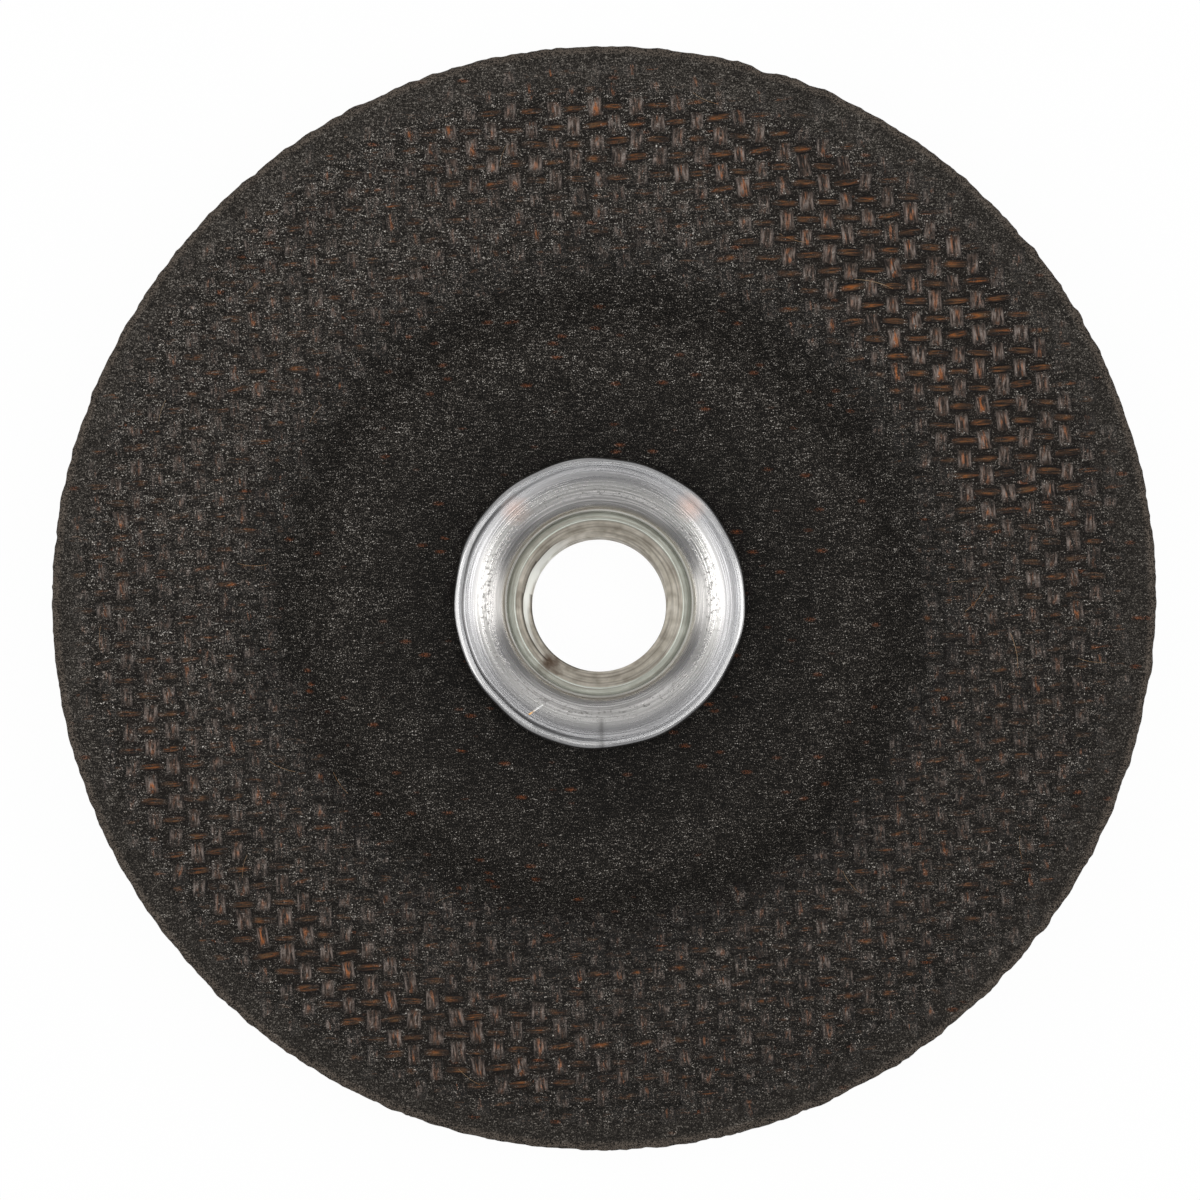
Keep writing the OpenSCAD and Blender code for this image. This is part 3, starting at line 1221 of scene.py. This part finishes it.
        # The tool left the lip wavy, and a fine groove runs round it, deepest on the left.
        flare = (kinds == "flare")[:, None]
        free = ramp(radius, self.free_from, self.flare_radius) * flare
        wave = sum(share * np.sin(number * turns + phase) for share, number, phase in self.waves)
        top = height > self.crest_height - self.groove_zone
        groove = np.exp(-(((radius - self.groove_radius) * 2 / self.groove_width) ** 2)) * top * flare
        deepest = ramp(np.cos(turns - self.groove_turn), 0.0, 0.95)
        groove = groove * (self.groove_least + (1 - self.groove_least) * deepest)
        lift = free * self.lip_lift * np.sin(self.lifts[0] * turns + self.lifts[1])
        height = height - groove * self.groove_depth + lift
        aside = (turns - math.radians(self.smudge_heading)) * radius * 2 / self.smudge_width
        smudge = self.smudge_dirt * np.exp(-(aside**2)) * ramp(radius, *self.smudge_from) * flare
        radius = radius + free * self.lip_wave * wave

        hub = closed_rings("threaded_hub_dressed", to_places(turns, radius, height), self.SHARP_DEG)
        shade, flank = self.run_out(turns, radius, height, (kinds == "bore")[:, None])
        # Dark marks: a real smudge, with painted shade in the lip's groove and along the thread's cut edge.
        keep_values(hub, self.DIRT_AND_SHADE, np.maximum(np.maximum(self.groove_dirt * groove, smudge), shade))
        keep_values(hub, self.LIT_CUT, flank)
        faces = np.repeat([self.FINISHES[name] for name in names], self.segments)
        hub.data.polygons.foreach_set("material_index", faces.astype(np.int32))
        return hub

    def dress(self, hub: bpy.types.Object) -> None:
        """Puts the finishes on the hub, in the order of their numbers."""
        for finish in (SwagedSteelFinish(), TurnedSteelFinish(), PlatedSteelFinish()):
            hub.data.materials.append(finish.build())


@dataclass
class AbrasiveWheel:
    """The pressed abrasive wheel: one wall, a depressed centre and a rough, slightly uneven rim.

    Attributes:
        segments: Steps round the axis.
        hole: Radius of the hole, under the hub's flare.
        hole_edge: Height of the hole's upright wall.
        seat_edge: Radius where the hole's edge meets the recess.
        run_out: How far the rim's middle lies from the spindle axis.
        uneven_from: Radius where the rim starts to be uneven.
        rim_lobe: Height of the rim's two broad lobes.
        rim_grain: Height of the grain on the rim's edge.
        rim_bumps: Share and width of that grain's bumps.
        face_grain: Height of the grain on the faces.
        face_bumps: Share and width of that grain's bumps.
        face_from: Radius where that grain starts, and where it is full.
    """

    NODE: ClassVar[str] = "abrasive_disc"
    SLOT: ClassVar[str] = "abrasive"
    RUBBED: ClassVar[str] = "rubbed"
    SHARP_DEG: ClassVar[float] = 35.0

    segments: int = 690
    thickness: float = 2.4 * MM
    dish_depth: float = 4.6 * MM
    dish_floor: float = 25.2 * MM
    dish_bend: float = 8.0 * MM
    rim_chamfer: float = 0.4 * MM
    hole: float = 11.0 * MM
    hole_edge: float = 0.9 * MM
    seat_edge: float = 13.6 * MM
    run_out: Pair = (0.51 * MM, 0.50 * MM)
    uneven_from: float = 38 * MM
    rim_lobe: float = 0.17 * MM
    lobe_heading: float = 50.0
    rim_grain: float = 0.30 * MM
    rim_bumps: tuple[Pair, ...] = ((0.5, 0.8 * MM), (0.7, 1.9 * MM))
    face_grain: float = 0.035 * MM
    face_bumps: tuple[Pair, ...] = ((1.0, 1.1 * MM), (0.8, 6 * MM))
    face_from: Pair = (15.5 * MM, 17 * MM)
    notch_heading: float = 72.5
    notch_depth: float = 0.35 * MM
    notch_width: float = 1.1 * MM
    radius: float = field(init=False)
    floor: float = field(init=False)

    def __post_init__(self) -> None:
        """Takes the rim's radius and the underside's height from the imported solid."""
        low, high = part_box(self.NODE)
        self.radius = high.x
        self.floor = low.z

    def outline(self) -> tuple[np.ndarray, np.ndarray]:
        """Draws the wheel's half section, from the hole up over the work side and back underneath.

        Returns:
            Radius and height pairs, and for each pair whether it is on the rim's edge.
        """
        middle = self.dish_bend + self.thickness / 2
        wide = self.dish_bend + self.thickness
        angle = math.degrees(math.acos(1 - self.dish_depth / (2 * middle)))
        flat = self.dish_floor + 2 * middle * math.sin(math.radians(angle))
        recess = self.floor + self.thickness
        under = self.floor + self.dish_depth
        face = under + self.thickness
        lower = (self.dish_floor, recess + self.dish_bend)
        upper = (flat, under - self.dish_bend)
        edge = self.radius - self.rim_chamfer
        high, low = face - self.rim_chamfer, under + self.rim_chamfer
        hole_top = self.floor + self.hole_edge
        work = [
            line((self.hole, hole_top), (self.seat_edge, recess), 5),
            line((self.seat_edge, recess), (self.dish_floor, recess), 20)[1:],
            arc(lower, self.dish_bend, 270, 270 + angle, 12)[1:],
            arc(upper, wide, 90 + angle, 90, 14)[1:],
            line((flat, face), (edge, face), 36)[1:],
        ]
        rim = [
            line((edge, face), (self.radius, high), 3)[1:],
            line((self.radius, high), (self.radius, low), 6)[1:],
            line((self.radius, low), (edge, under), 3)[1:],
        ]
        back = [
            line((edge, under), (flat, under), 22)[1:],
            arc(upper, self.dish_bend, 90, 90 + angle, 9)[1:],
            arc(lower, wide, 270 + angle, 270, 9)[1:],
            line((self.dish_floor, self.floor), (self.hole, self.floor), 12)[1:],
            line((self.hole, self.floor), (self.hole, hole_top), 3)[1:-1],
        ]
        points = np.concatenate(work + rim + back)
        first = sum(map(len, work))
        on_rim = np.zeros(len(points))
        on_rim[first - 1 : first + sum(map(len, rim))] = 1
        return points, on_rim

    def rim_growth(self, turns: np.ndarray) -> np.ndarray:
        """Gives how far the rim stands out at each angle: run-out, two broad lobes and one small notch.

        Args:
            turns: Angles round the axis.

        Returns:
            A length for each angle.
        """
        out = self.run_out[0] * np.cos(turns) + self.run_out[1] * np.sin(turns)
        lobe = self.rim_lobe * np.cos(2 * (turns - math.radians(self.lobe_heading)))
        away = (turns - math.radians(self.notch_heading)) * self.radius
        notch = self.notch_depth * np.exp(-((away / self.notch_width) ** 2))
        return out + lobe - notch

    def build(self) -> bpy.types.Object:
        """Makes the wheel's mesh, one closed skin with a rough face.

        Returns:
            The wheel, with its rubbed edge kept as an attribute.
        """
        outline, on_rim = self.outline()
        turns, radius, height = spin(outline, self.segments)
        plain = to_places(turns, radius, height)
        face = sum(share * rough(plain, width) for share, width in self.face_bumps)
        height = height + ramp(radius, *self.face_from) * self.face_grain * face
        edge = on_rim[:, None] * sum(share * rough(plain, width) for share, width in self.rim_bumps)
        outer = ramp(radius, self.uneven_from, self.radius)
        radius = radius + outer * self.rim_growth(turns) + edge * self.rim_grain
        wheel = closed_rings("abrasive_wheel_dressed", to_places(turns, radius, height), self.SHARP_DEG)
        keep_values(wheel, self.RUBBED, np.repeat(on_rim, self.segments))
        return wheel

    def dress(self, wheel: bpy.types.Object) -> None:
        """Puts the scrim on the wheel."""
        wheel.data.materials.append(ScrimFinish().build())


@dataclass
class GlassMesh:
    """The woven glass mesh that stands out of the wheel's faces as a checkerboard of short floats.

    Attributes:
        column_pitch: Spacing of the warp yarns.
        row_pitch: Spacing of the weft yarns.
        weft: Length, width and height of a weft float.
        warp: Length, width and height of a warp float.
        sink: Depth of a float's edge in the face.
        inner: Radius where the mesh starts to show.
        outer: Radius where the resin covers it again.
        fade: Width over which it rises at the inner radius, and at the outer one.
        stray: How far a float strays along x and y.
        patch: Width of the patches where floats are more bare.
        luck: Least and most that chance adds to how bare a float is.
        twist: Most that a float turns aside, in radians.
        plan: Least and most of a float's scale along each axis.
        seed: Start of the random run.
    """

    STRAND: ClassVar[str] = "strand"
    BARE: ClassVar[str] = "bare"
    TONE: ClassVar[str] = "tone"
    TILT: ClassVar[float] = math.radians(3.0)
    SHARP_DEG: ClassVar[float] = 60.0

    column_pitch: float = 2.14 * MM
    row_pitch: float = 1.83 * MM
    weft: Triple = (2.85 * MM, 1.15 * MM, 0.20 * MM)
    warp: Triple = (2.40 * MM, 1.75 * MM, 0.17 * MM)
    sink: float = 0.09 * MM
    inner: float = 33.5 * MM
    outer: float = 55.1 * MM
    fade: Pair = (7 * MM, 1.6 * MM)
    stray: Triple = (0.18 * MM, 0.14 * MM, 0.0)
    patch: float = 4 * MM
    luck: Pair = (-0.22, 0.16)
    twist: float = 0.11
    plan: tuple[Triple, Triple] = ((0.88, 0.86, 1), (1.14, 1.12, 1))
    seed: int = 7

    def float_shape(self, run: Run) -> bpy.types.Object:
        """Makes one float, a low closed pillow of a few dozen faces, with its strands kept as an attribute.

        Args:
            run: Which yarn the float belongs to.

        Returns:
            An object outside the scene, for the modifier to repeat.
        """
        is_weft = run is Run.WEFT
        length, width, rise = self.weft if is_weft else self.warp
        steps, strands = (8, 4) if is_weft else (6, 6)
        u, v = np.meshgrid(np.linspace(-1, 1, steps + 1), np.linspace(-1, 1, strands + 1), indexing="ij")
        # A weft float tapers to its ends, and a warp float fans out into three strands.
        spread = 1 - 0.25 * u**2 if is_weft else 0.9 + 0.12 * u**2
        lobes = 1.0 if is_weft else 0.86 + 0.14 * np.cos(3 * math.pi * v)
        crown = np.sqrt(np.clip(1 - u**4, 0, 1)) * np.sqrt(np.clip(1 - v**4, 0, 1)) * lobes
        along, across = u * length / 2, v * spread * width / 2
        x, y = (along, across) if is_weft else (across, along)
        z = crown * (rise + self.sink) - self.sink
        index = np.arange(u.size).reshape(u.shape)
        corners = [index[:-1, :-1], index[1:, :-1], index[1:, 1:], index[:-1, 1:]]
        base = np.concatenate([index[:, 0], index[-1, 1:], index[-2::-1, -1], index[0, -2:0:-1]])
        faces = np.stack(corners, axis=-1).reshape(-1, 4).tolist() + [base[::-1].tolist()]
        if not is_weft:
            faces = [face[::-1] for face in faces]
        mesh = bpy.data.meshes.new(f"{run.name.lower()}_float")
        mesh.from_pydata(np.stack([x, y, z], axis=-1).reshape(-1, 3).tolist(), [], faces)
        mesh.shade_smooth()
        mesh.set_sharp_from_angle(angle=math.radians(self.SHARP_DEG))
        strand = mesh.attributes.new(self.STRAND, "FLOAT_VECTOR", "POINT")
        strand.data.foreach_set("vector", np.stack([v, u, 0 * u], axis=-1).astype(np.float32).ravel())
        return bpy.data.objects.new(mesh.name, mesh)

    def tree(self) -> bpy.types.NodeTree:
        """Builds the modifier that lays one yarn's floats on a face of the wheel.

        Returns:
            The node tree, with its sizes as named inputs.
        """
        sizes = ("Column pitch", "Row pitch", "Inner radius", "Outer radius", "Tilt", "Facing", "Parity")
        kinds = {"Wheel": "Object", "Float": "Object", "Finish": "Material", "Seed": "Int"}
        tree, add, given = open_tree("woven_floats", {**kinds, **dict.fromkeys(sizes, "Float")})
        chance = {"Seed": given["Seed"]}

        # A square grid of crossings, wide enough for the wheel, with every other one dropped.
        count = 2 * math.ceil(self.outer / self.row_pitch) + 3
        pitches = (given["Column pitch"], given["Row pitch"])
        width, depth = (add(MATH, pitch, count - 1, operation="MULTIPLY")[0] for pitch in pitches)
        grid = add("GeometryNodeMeshGrid", width, depth, count, count)["Mesh"]
        place = add("GeometryNodeInputPosition")[0]
        at = add("ShaderNodeSeparateXYZ", place)
        column, row = (add(MATH, at[k], pitches[k], operation="DIVIDE")[0] for k in (0, 1))
        crossing = add(MATH, column, row, operation="ADD")[0]
        whole = add(MATH, crossing, operation="ROUND")[0]
        parity = add(MATH, whole, 2.0, operation="FLOORED_MODULO")[0]
        right = add(MATH, parity, given["Parity"], 0.5, operation="COMPARE")[0]
        wrong = add(MATH, 1.0, right, operation="SUBTRACT")[0]
        far = add(VECTOR, place, (*AbrasiveWheel.run_out, 0), operation="DISTANCE")["Value"]
        drop = add(MATH, off_ring(add, given, far), wrong, operation="ADD")[0]
        kept = add("GeometryNodeDeleteGeometry", grid, drop)[0]

        # Each crossing strays a little, and drops onto the wheel's face.
        limits = (tuple(-s for s in self.stray), self.stray)
        stray = add(RANDOM, *limits, chance, data_type="FLOAT_VECTOR")[0]
        moved = add(VECTOR, place, stray, operation="ADD")[0]
        tilt = {"Vector": moved, "Angle": given["Tilt"]}
        turned = add("ShaderNodeVectorRotate", tilt, rotation_type="Z_AXIS")[0]
        above = add(COMBINE, {2: add(MATH, given["Facing"], RAY_START, operation="MULTIPLY")[0]})[0]
        source = add(VECTOR, turned, above, operation="ADD")[0]
        aim = add(VECTOR, above, {"Scale": -1.0}, operation="SCALE")[0]
        cast = cast_rays(add, given, source, aim)
        laid = add("GeometryNodeSetPosition", {"Geometry": kept, "Position": cast["Hit Position"]})[0]

        # How bare each float is, and how bright.
        patches = add(NOISE, place, {"Scale": 1 / self.patch, "Detail": 2.0})[0]
        fade_in = add(RANGE, far, self.inner, self.inner + self.fade[0], 0.12)[0]
        fade_out = add(RANGE, far, self.outer, self.outer - self.fade[1], 0.12)[0]
        band = add(MATH, fade_in, fade_out, operation="MULTIPLY")[0]
        shown = add(MATH, bareness(add, place, MM), fade_out, operation="MULTIPLY")[0]
        luck = add(RANDOM, {2: self.luck[0], 3: self.luck[1]}, chance, data_type="FLOAT")[1]
        uneven = add(RANGE, patches, 0.3, 0.7)[0]
        spread_out = add(MATH, uneven, 0.7, luck, operation="MULTIPLY_ADD")[0]
        ragged = add(MATH, spread_out, 0.72, operation="ADD")[0]
        bare = add(MATH, shown, ragged, operation="MULTIPLY", use_clamp=True)[0]
        tone = add(RANDOM, {2: 0.25, 3: 1.0}, chance, data_type="FLOAT")[1]
        points = laid
        for name, value in ((self.BARE, bare), (self.TONE, tone)):
            stored = {"Geometry": points, "Name": name, "Value": value}
            points = add("GeometryNodeStoreNamedAttribute", stored)[0]

        # Floats lie along the mesh, flat on the face, and lower where the fleece covers them.
        aside = add(RANDOM, {2: -self.twist, 3: self.twist}, chance, data_type="FLOAT")[1]
        turn = add(MATH, given["Tilt"], aside, operation="ADD")[0]
        rise = add(MATH, bare, 0.45, 0.55, operation="MULTIPLY_ADD")[0]
        lift = add(MATH, rise, band, operation="MULTIPLY")[0]
        plan = add(RANDOM, *self.plan, chance, data_type="FLOAT_VECTOR")[0]
        tall = add(COMBINE, 1.0, 1.0, lift)[0]
        scale = add(VECTOR, plan, tall, operation="MULTIPLY")[0]
        shape = add("GeometryNodeObjectInfo", {"Object": given["Float"]})["Geometry"]
        strew(add, given, points, shape, turn, cast["Hit Normal"], scale)
        return tree

    def build(self, wheel: bpy.types.Object) -> list[bpy.types.Object]:
        """Lays both yarns on both faces of the wheel.

        Args:
            wheel: The dressed wheel.

        Returns:
            One plain mesh piece for each yarn on each face.
        """
        weft, warp = ("#1c140e", "#432f20", "#684a2e"), ("#201a16", "#4b3d34", "#897d75")
        finishes = (
            YarnFinish(Run.WEFT, weft, resin="#96531f", pale=0.0, gap_shade_from=0.42),
            YarnFinish(Run.WARP, warp, resin="#a65d24", pale=0.75, gap_shade_from=0.66),
        )
        tree = self.tree()
        pieces = []
        for finish in finishes:
            run = finish.run
            values = {
                "Wheel": wheel,
                "Float": self.float_shape(run),
                "Finish": finish.build(),
                "Column pitch": self.column_pitch,
                "Row pitch": self.row_pitch,
                "Inner radius": self.inner,
                "Outer radius": self.outer,
                "Tilt": self.TILT,
                "Parity": float(run.value),
                "Seed": self.seed + run.value,
            }
            for side in Side:
                name = f"{run.name.lower()}_{side.name.lower()}"
                pieces.append(run_tree(name, tree, {**values, "Facing": float(side.value)}))
        return pieces


@dataclass
class StrayFibres:
    """Loose ends of glass fibre that lie on the work face as fine pale hairs.

    Attributes:
        count: Number of tries at placing a fibre.
        length: Length of one fibre.
        thickness: Its diameter, drawn thicker than a real fibre so that it shows.
        bow: How far its middle bends aside.
        above: Height of its middle above the wheel's face.
        shortest: Length of the shortest fibre, as a share of the longest.
        inner: Radius inside which there are none.
        outer: Radius outside which there are none.
        seed: Start of the random run.
    """

    count: int = 34
    length: float = 4.2 * MM
    thickness: float = 0.05 * MM
    bow: float = 0.5 * MM
    above: float = 0.16 * MM
    shortest: float = 0.45
    inner: float = 31.0 * MM
    outer: float = 54.0 * MM
    seed: int = 19

    def tree(self) -> bpy.types.NodeTree:
        """Builds the modifier that scatters bowed fibres over the wheel's work face.

        Returns:
            The node tree, with its sizes as named inputs.
        """
        sizes = ("Length", "Thickness", "Bow", "Inner radius", "Outer radius")
        kinds = {"Wheel": "Object", "Finish": "Material", "Count": "Int", "Seed": "Int"}
        tree, add, given = open_tree("stray_fibres", {**kinds, **dict.fromkeys(sizes, "Float")})
        chance = {"Seed": given["Seed"]}

        # One bowed fibre along X.
        half = add(MATH, given["Length"], 0.5, operation="MULTIPLY")[0]
        back = add(MATH, half, -1.0, operation="MULTIPLY")[0]
        start, middle, end = (add(COMBINE, at)[0] for at in ({0: back}, {1: given["Bow"]}, {0: half}))
        bezier = add("GeometryNodeCurveQuadraticBezier", 7, start, middle, end)[0]
        girth = add(MATH, given["Thickness"], 0.5, operation="MULTIPLY")[0]
        ring = add("GeometryNodeCurvePrimitiveCircle", {"Resolution": 4, "Radius": girth})[0]
        fibre = add("GeometryNodeCurveToMesh", bezier, ring, {"Fill Caps": True})[0]

        # Points at random over a square, kept where the rim is, and dropped onto its face.
        cloud = add("GeometryNodePoints", {"Count": given["Count"]})[0]
        corner = (self.outer, self.outer, 0)
        spot = add(RANDOM, tuple(-c for c in corner), corner, chance, data_type="FLOAT_VECTOR")[0]
        spread = add("GeometryNodeSetPosition", {"Geometry": cloud, "Position": spot})[0]
        place = add("GeometryNodeInputPosition")[0]
        far = add(VECTOR, place, operation="LENGTH")["Value"]
        kept = add("GeometryNodeDeleteGeometry", spread, off_ring(add, given, far))[0]
        source = add(VECTOR, place, (0, 0, RAY_START), operation="ADD")[0]
        cast = cast_rays(add, given, source, (0, 0, -1))
        raised = add(VECTOR, cast["Hit Position"], (0, 0, self.above), operation="ADD")[0]
        laid = add("GeometryNodeSetPosition", {"Geometry": kept, "Position": raised})[0]
        turn = add(RANDOM, {2: 0.0, 3: math.tau}, chance, data_type="FLOAT")[1]
        size = add(RANDOM, {2: self.shortest, 3: 1.0}, chance, data_type="FLOAT")[1]
        strew(add, given, laid, fibre, turn, cast["Hit Normal"], size)
        return tree

    def build(self, wheel: bpy.types.Object) -> bpy.types.Object:
        """Scatters the fibres over the wheel's work face.

        Args:
            wheel: The dressed wheel.

        Returns:
            The fibres as one plain mesh.
        """
        values = {
            "Wheel": wheel,
            "Finish": FibreFinish().build(),
            "Count": self.count,
            "Length": self.length,
            "Thickness": self.thickness,
            "Bow": self.bow,
            "Inner radius": self.inner,
            "Outer radius": self.outer,
            "Seed": self.seed,
        }
        return run_tree("stray_fibres", self.tree(), values)


@dataclass
class Studio:
    """A white paper floor, soft lamps all round and overhead, and a camera that looks nearly straight down.

    Attributes:
        view_width: Width of the photograph's frame at the wheel's work face.
        view_centre: Where the middle of the frame lies from the spindle axis.
        view_lean: How far the camera stands to the near side of straight above, in degrees.
        lens: Focal length of the camera, in millimetres.
        sensor: Width of the camera's sensor, in millimetres.
        lamp_distance: How far the two main lamps hang from the wheel.
        lamp_lean: How far they hang to the left and right of straight above, in degrees.
        lamp_near: How far they hang to the near side.
        fill_distance: How far the two fill lamps hang from the wheel.
        fill_lean: How far those hang to the left and right of straight above, in degrees.
        end_place: How far the near and the far lamp hang to their side, and how high.
        overhead_place: Where the overhead lamp hangs.
        ambient: Strength of the light that comes from all round.
        ambient_colour: Colour of that light.
    """

    view_width: float = 124.2 * MM
    view_centre: Pair = (0.09 * MM, 0.15 * MM)
    view_lean: float = 2.1
    lens: float = 250.0
    sensor: float = 36.0
    floor_size: float = 4.0
    lamp_distance: float = 0.75
    lamp_lean: float = 23.2
    lamp_near: float = 0.02
    lamp_size: Pair = (0.24, 0.50)
    lamp_power: float = 1.62
    fill_distance: float = 0.9
    fill_lean: float = 62.0
    fill_size: Pair = (0.4, 0.8)
    fill_power: float = 1.25
    end_place: Pair = (0.42, 0.43)
    end_size: Pair = (0.9, 0.5)
    near_power: float = 0.58
    far_power: float = 0.85
    overhead_place: Triple = (0.0, 0.30, 1.2)
    overhead_size: Pair = (1.2, 0.52)
    overhead_power: float = 0.3
    ambient: float = 0.19
    ambient_colour: str = "#f4f6ff"

    def build_floor(self) -> None:
        """Lays the paper under the hub."""
        half = self.floor_size / 2
        corners = [(-half, -half, 0), (half, -half, 0), (half, half, 0), (-half, half, 0)]
        mesh = bpy.data.meshes.new("paper_floor")
        mesh.from_pydata(corners, [], [(0, 1, 2, 3)])
        floor = into_scene("paper_floor", mesh)
        floor.data.materials.append(PaperFinish().build())

    def add_lamp(self, name: str, place: Triple, size: Pair, power: float) -> None:
        """Hangs one soft lamp that points at the wheel.

        Args:
            name: The lamp's name.
            place: Where it hangs.
            size: Its width and depth.
            power: Its power in watts.
        """
        light = bpy.data.lights.new(name, "AREA")
        light.shape = "RECTANGLE"
        light.size, light.size_y = size
        light.energy = power
        lamp = into_scene(name, light)
        lamp.location = place
        lamp.rotation_euler = (-Vector(place)).to_track_quat("-Z", "Y").to_euler()

    def build_lights(self) -> None:
        """Hangs the lamps and sets the light that comes from all round."""
        lean, low = math.radians(self.lamp_lean), math.radians(self.fill_lean)
        reach, rise = self.lamp_distance * math.sin(lean), self.lamp_distance * math.cos(lean)
        fill_reach, fill_rise = self.fill_distance * math.sin(low), self.fill_distance * math.cos(low)
        for name, side in (("left", -1), ("right", 1)):
            place = (side * reach, -self.lamp_near, rise)
            self.add_lamp(f"lamp_{name}", place, self.lamp_size, self.lamp_power)
            place = (side * fill_reach, 0.0, fill_rise)
            self.add_lamp(f"fill_{name}", place, self.fill_size, self.fill_power)
        away, high = self.end_place
        for name, end, power in (("near", -1, self.near_power), ("far", 1, self.far_power)):
            self.add_lamp(f"lamp_{name}", (0.0, end * away, high), self.end_size, power)
        self.add_lamp("lamp_overhead", self.overhead_place, self.overhead_size, self.overhead_power)
        world = bpy.data.worlds.new("studio")
        world.use_nodes = True
        world.node_tree.nodes.clear()
        add = partial(add_node, world.node_tree)
        seen = add("ShaderNodeLightPath")["Is Camera Ray"]
        dim = add("ShaderNodeBackground", self.ambient_colour, self.ambient)[0]
        white = add("ShaderNodeBackground", "#ffffff", 1.0)[0]
        mixed = add("ShaderNodeMixShader", seen, dim, white)[0]
        add("ShaderNodeOutputWorld", {"Surface": mixed})
        bpy.context.scene.world = world

    def build_camera(self, face: float) -> None:
        """Puts the camera above the wheel.

        Args:
            face: Height of the wheel's work face.
        """
        data = bpy.data.cameras.new("camera")
        data.sensor_width = self.sensor
        data.lens = self.lens
        camera = into_scene("camera", data)
        away = self.view_width * self.lens / self.sensor
        lean = math.radians(self.view_lean)
        x, y = self.view_centre
        camera.location = (x, y - away * math.sin(lean), face + away * math.cos(lean))
        camera.rotation_euler = (lean, 0, 0)
        bpy.context.scene.camera = camera


def main() -> None:
    """Builds the wheel, its glass mesh, its hub and the studio, and logs each piece's face count."""
    logging.basicConfig(level=logging.INFO, format="%(name)s: %(message)s")
    bpy.context.scene.view_settings.view_transform = "Standard"

    maker = AbrasiveWheel()
    wheel = maker.build()
    maker.dress(wheel)
    for yarn in GlassMesh().build(wheel):
        hand_over(yarn, AbrasiveWheel.NODE)
    hand_over(StrayFibres().build(wheel), AbrasiveWheel.NODE)
    hand_over(wheel, AbrasiveWheel.NODE)

    swager = ThreadedHub()
    hub = swager.build()
    swager.dress(hub)
    hand_over(hub, ThreadedHub.NODE)

    studio = Studio()
    studio.build_floor()
    studio.build_lights()
    studio.build_camera(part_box(AbrasiveWheel.NODE)[1].z)


if __name__ == "__main__":
    main()
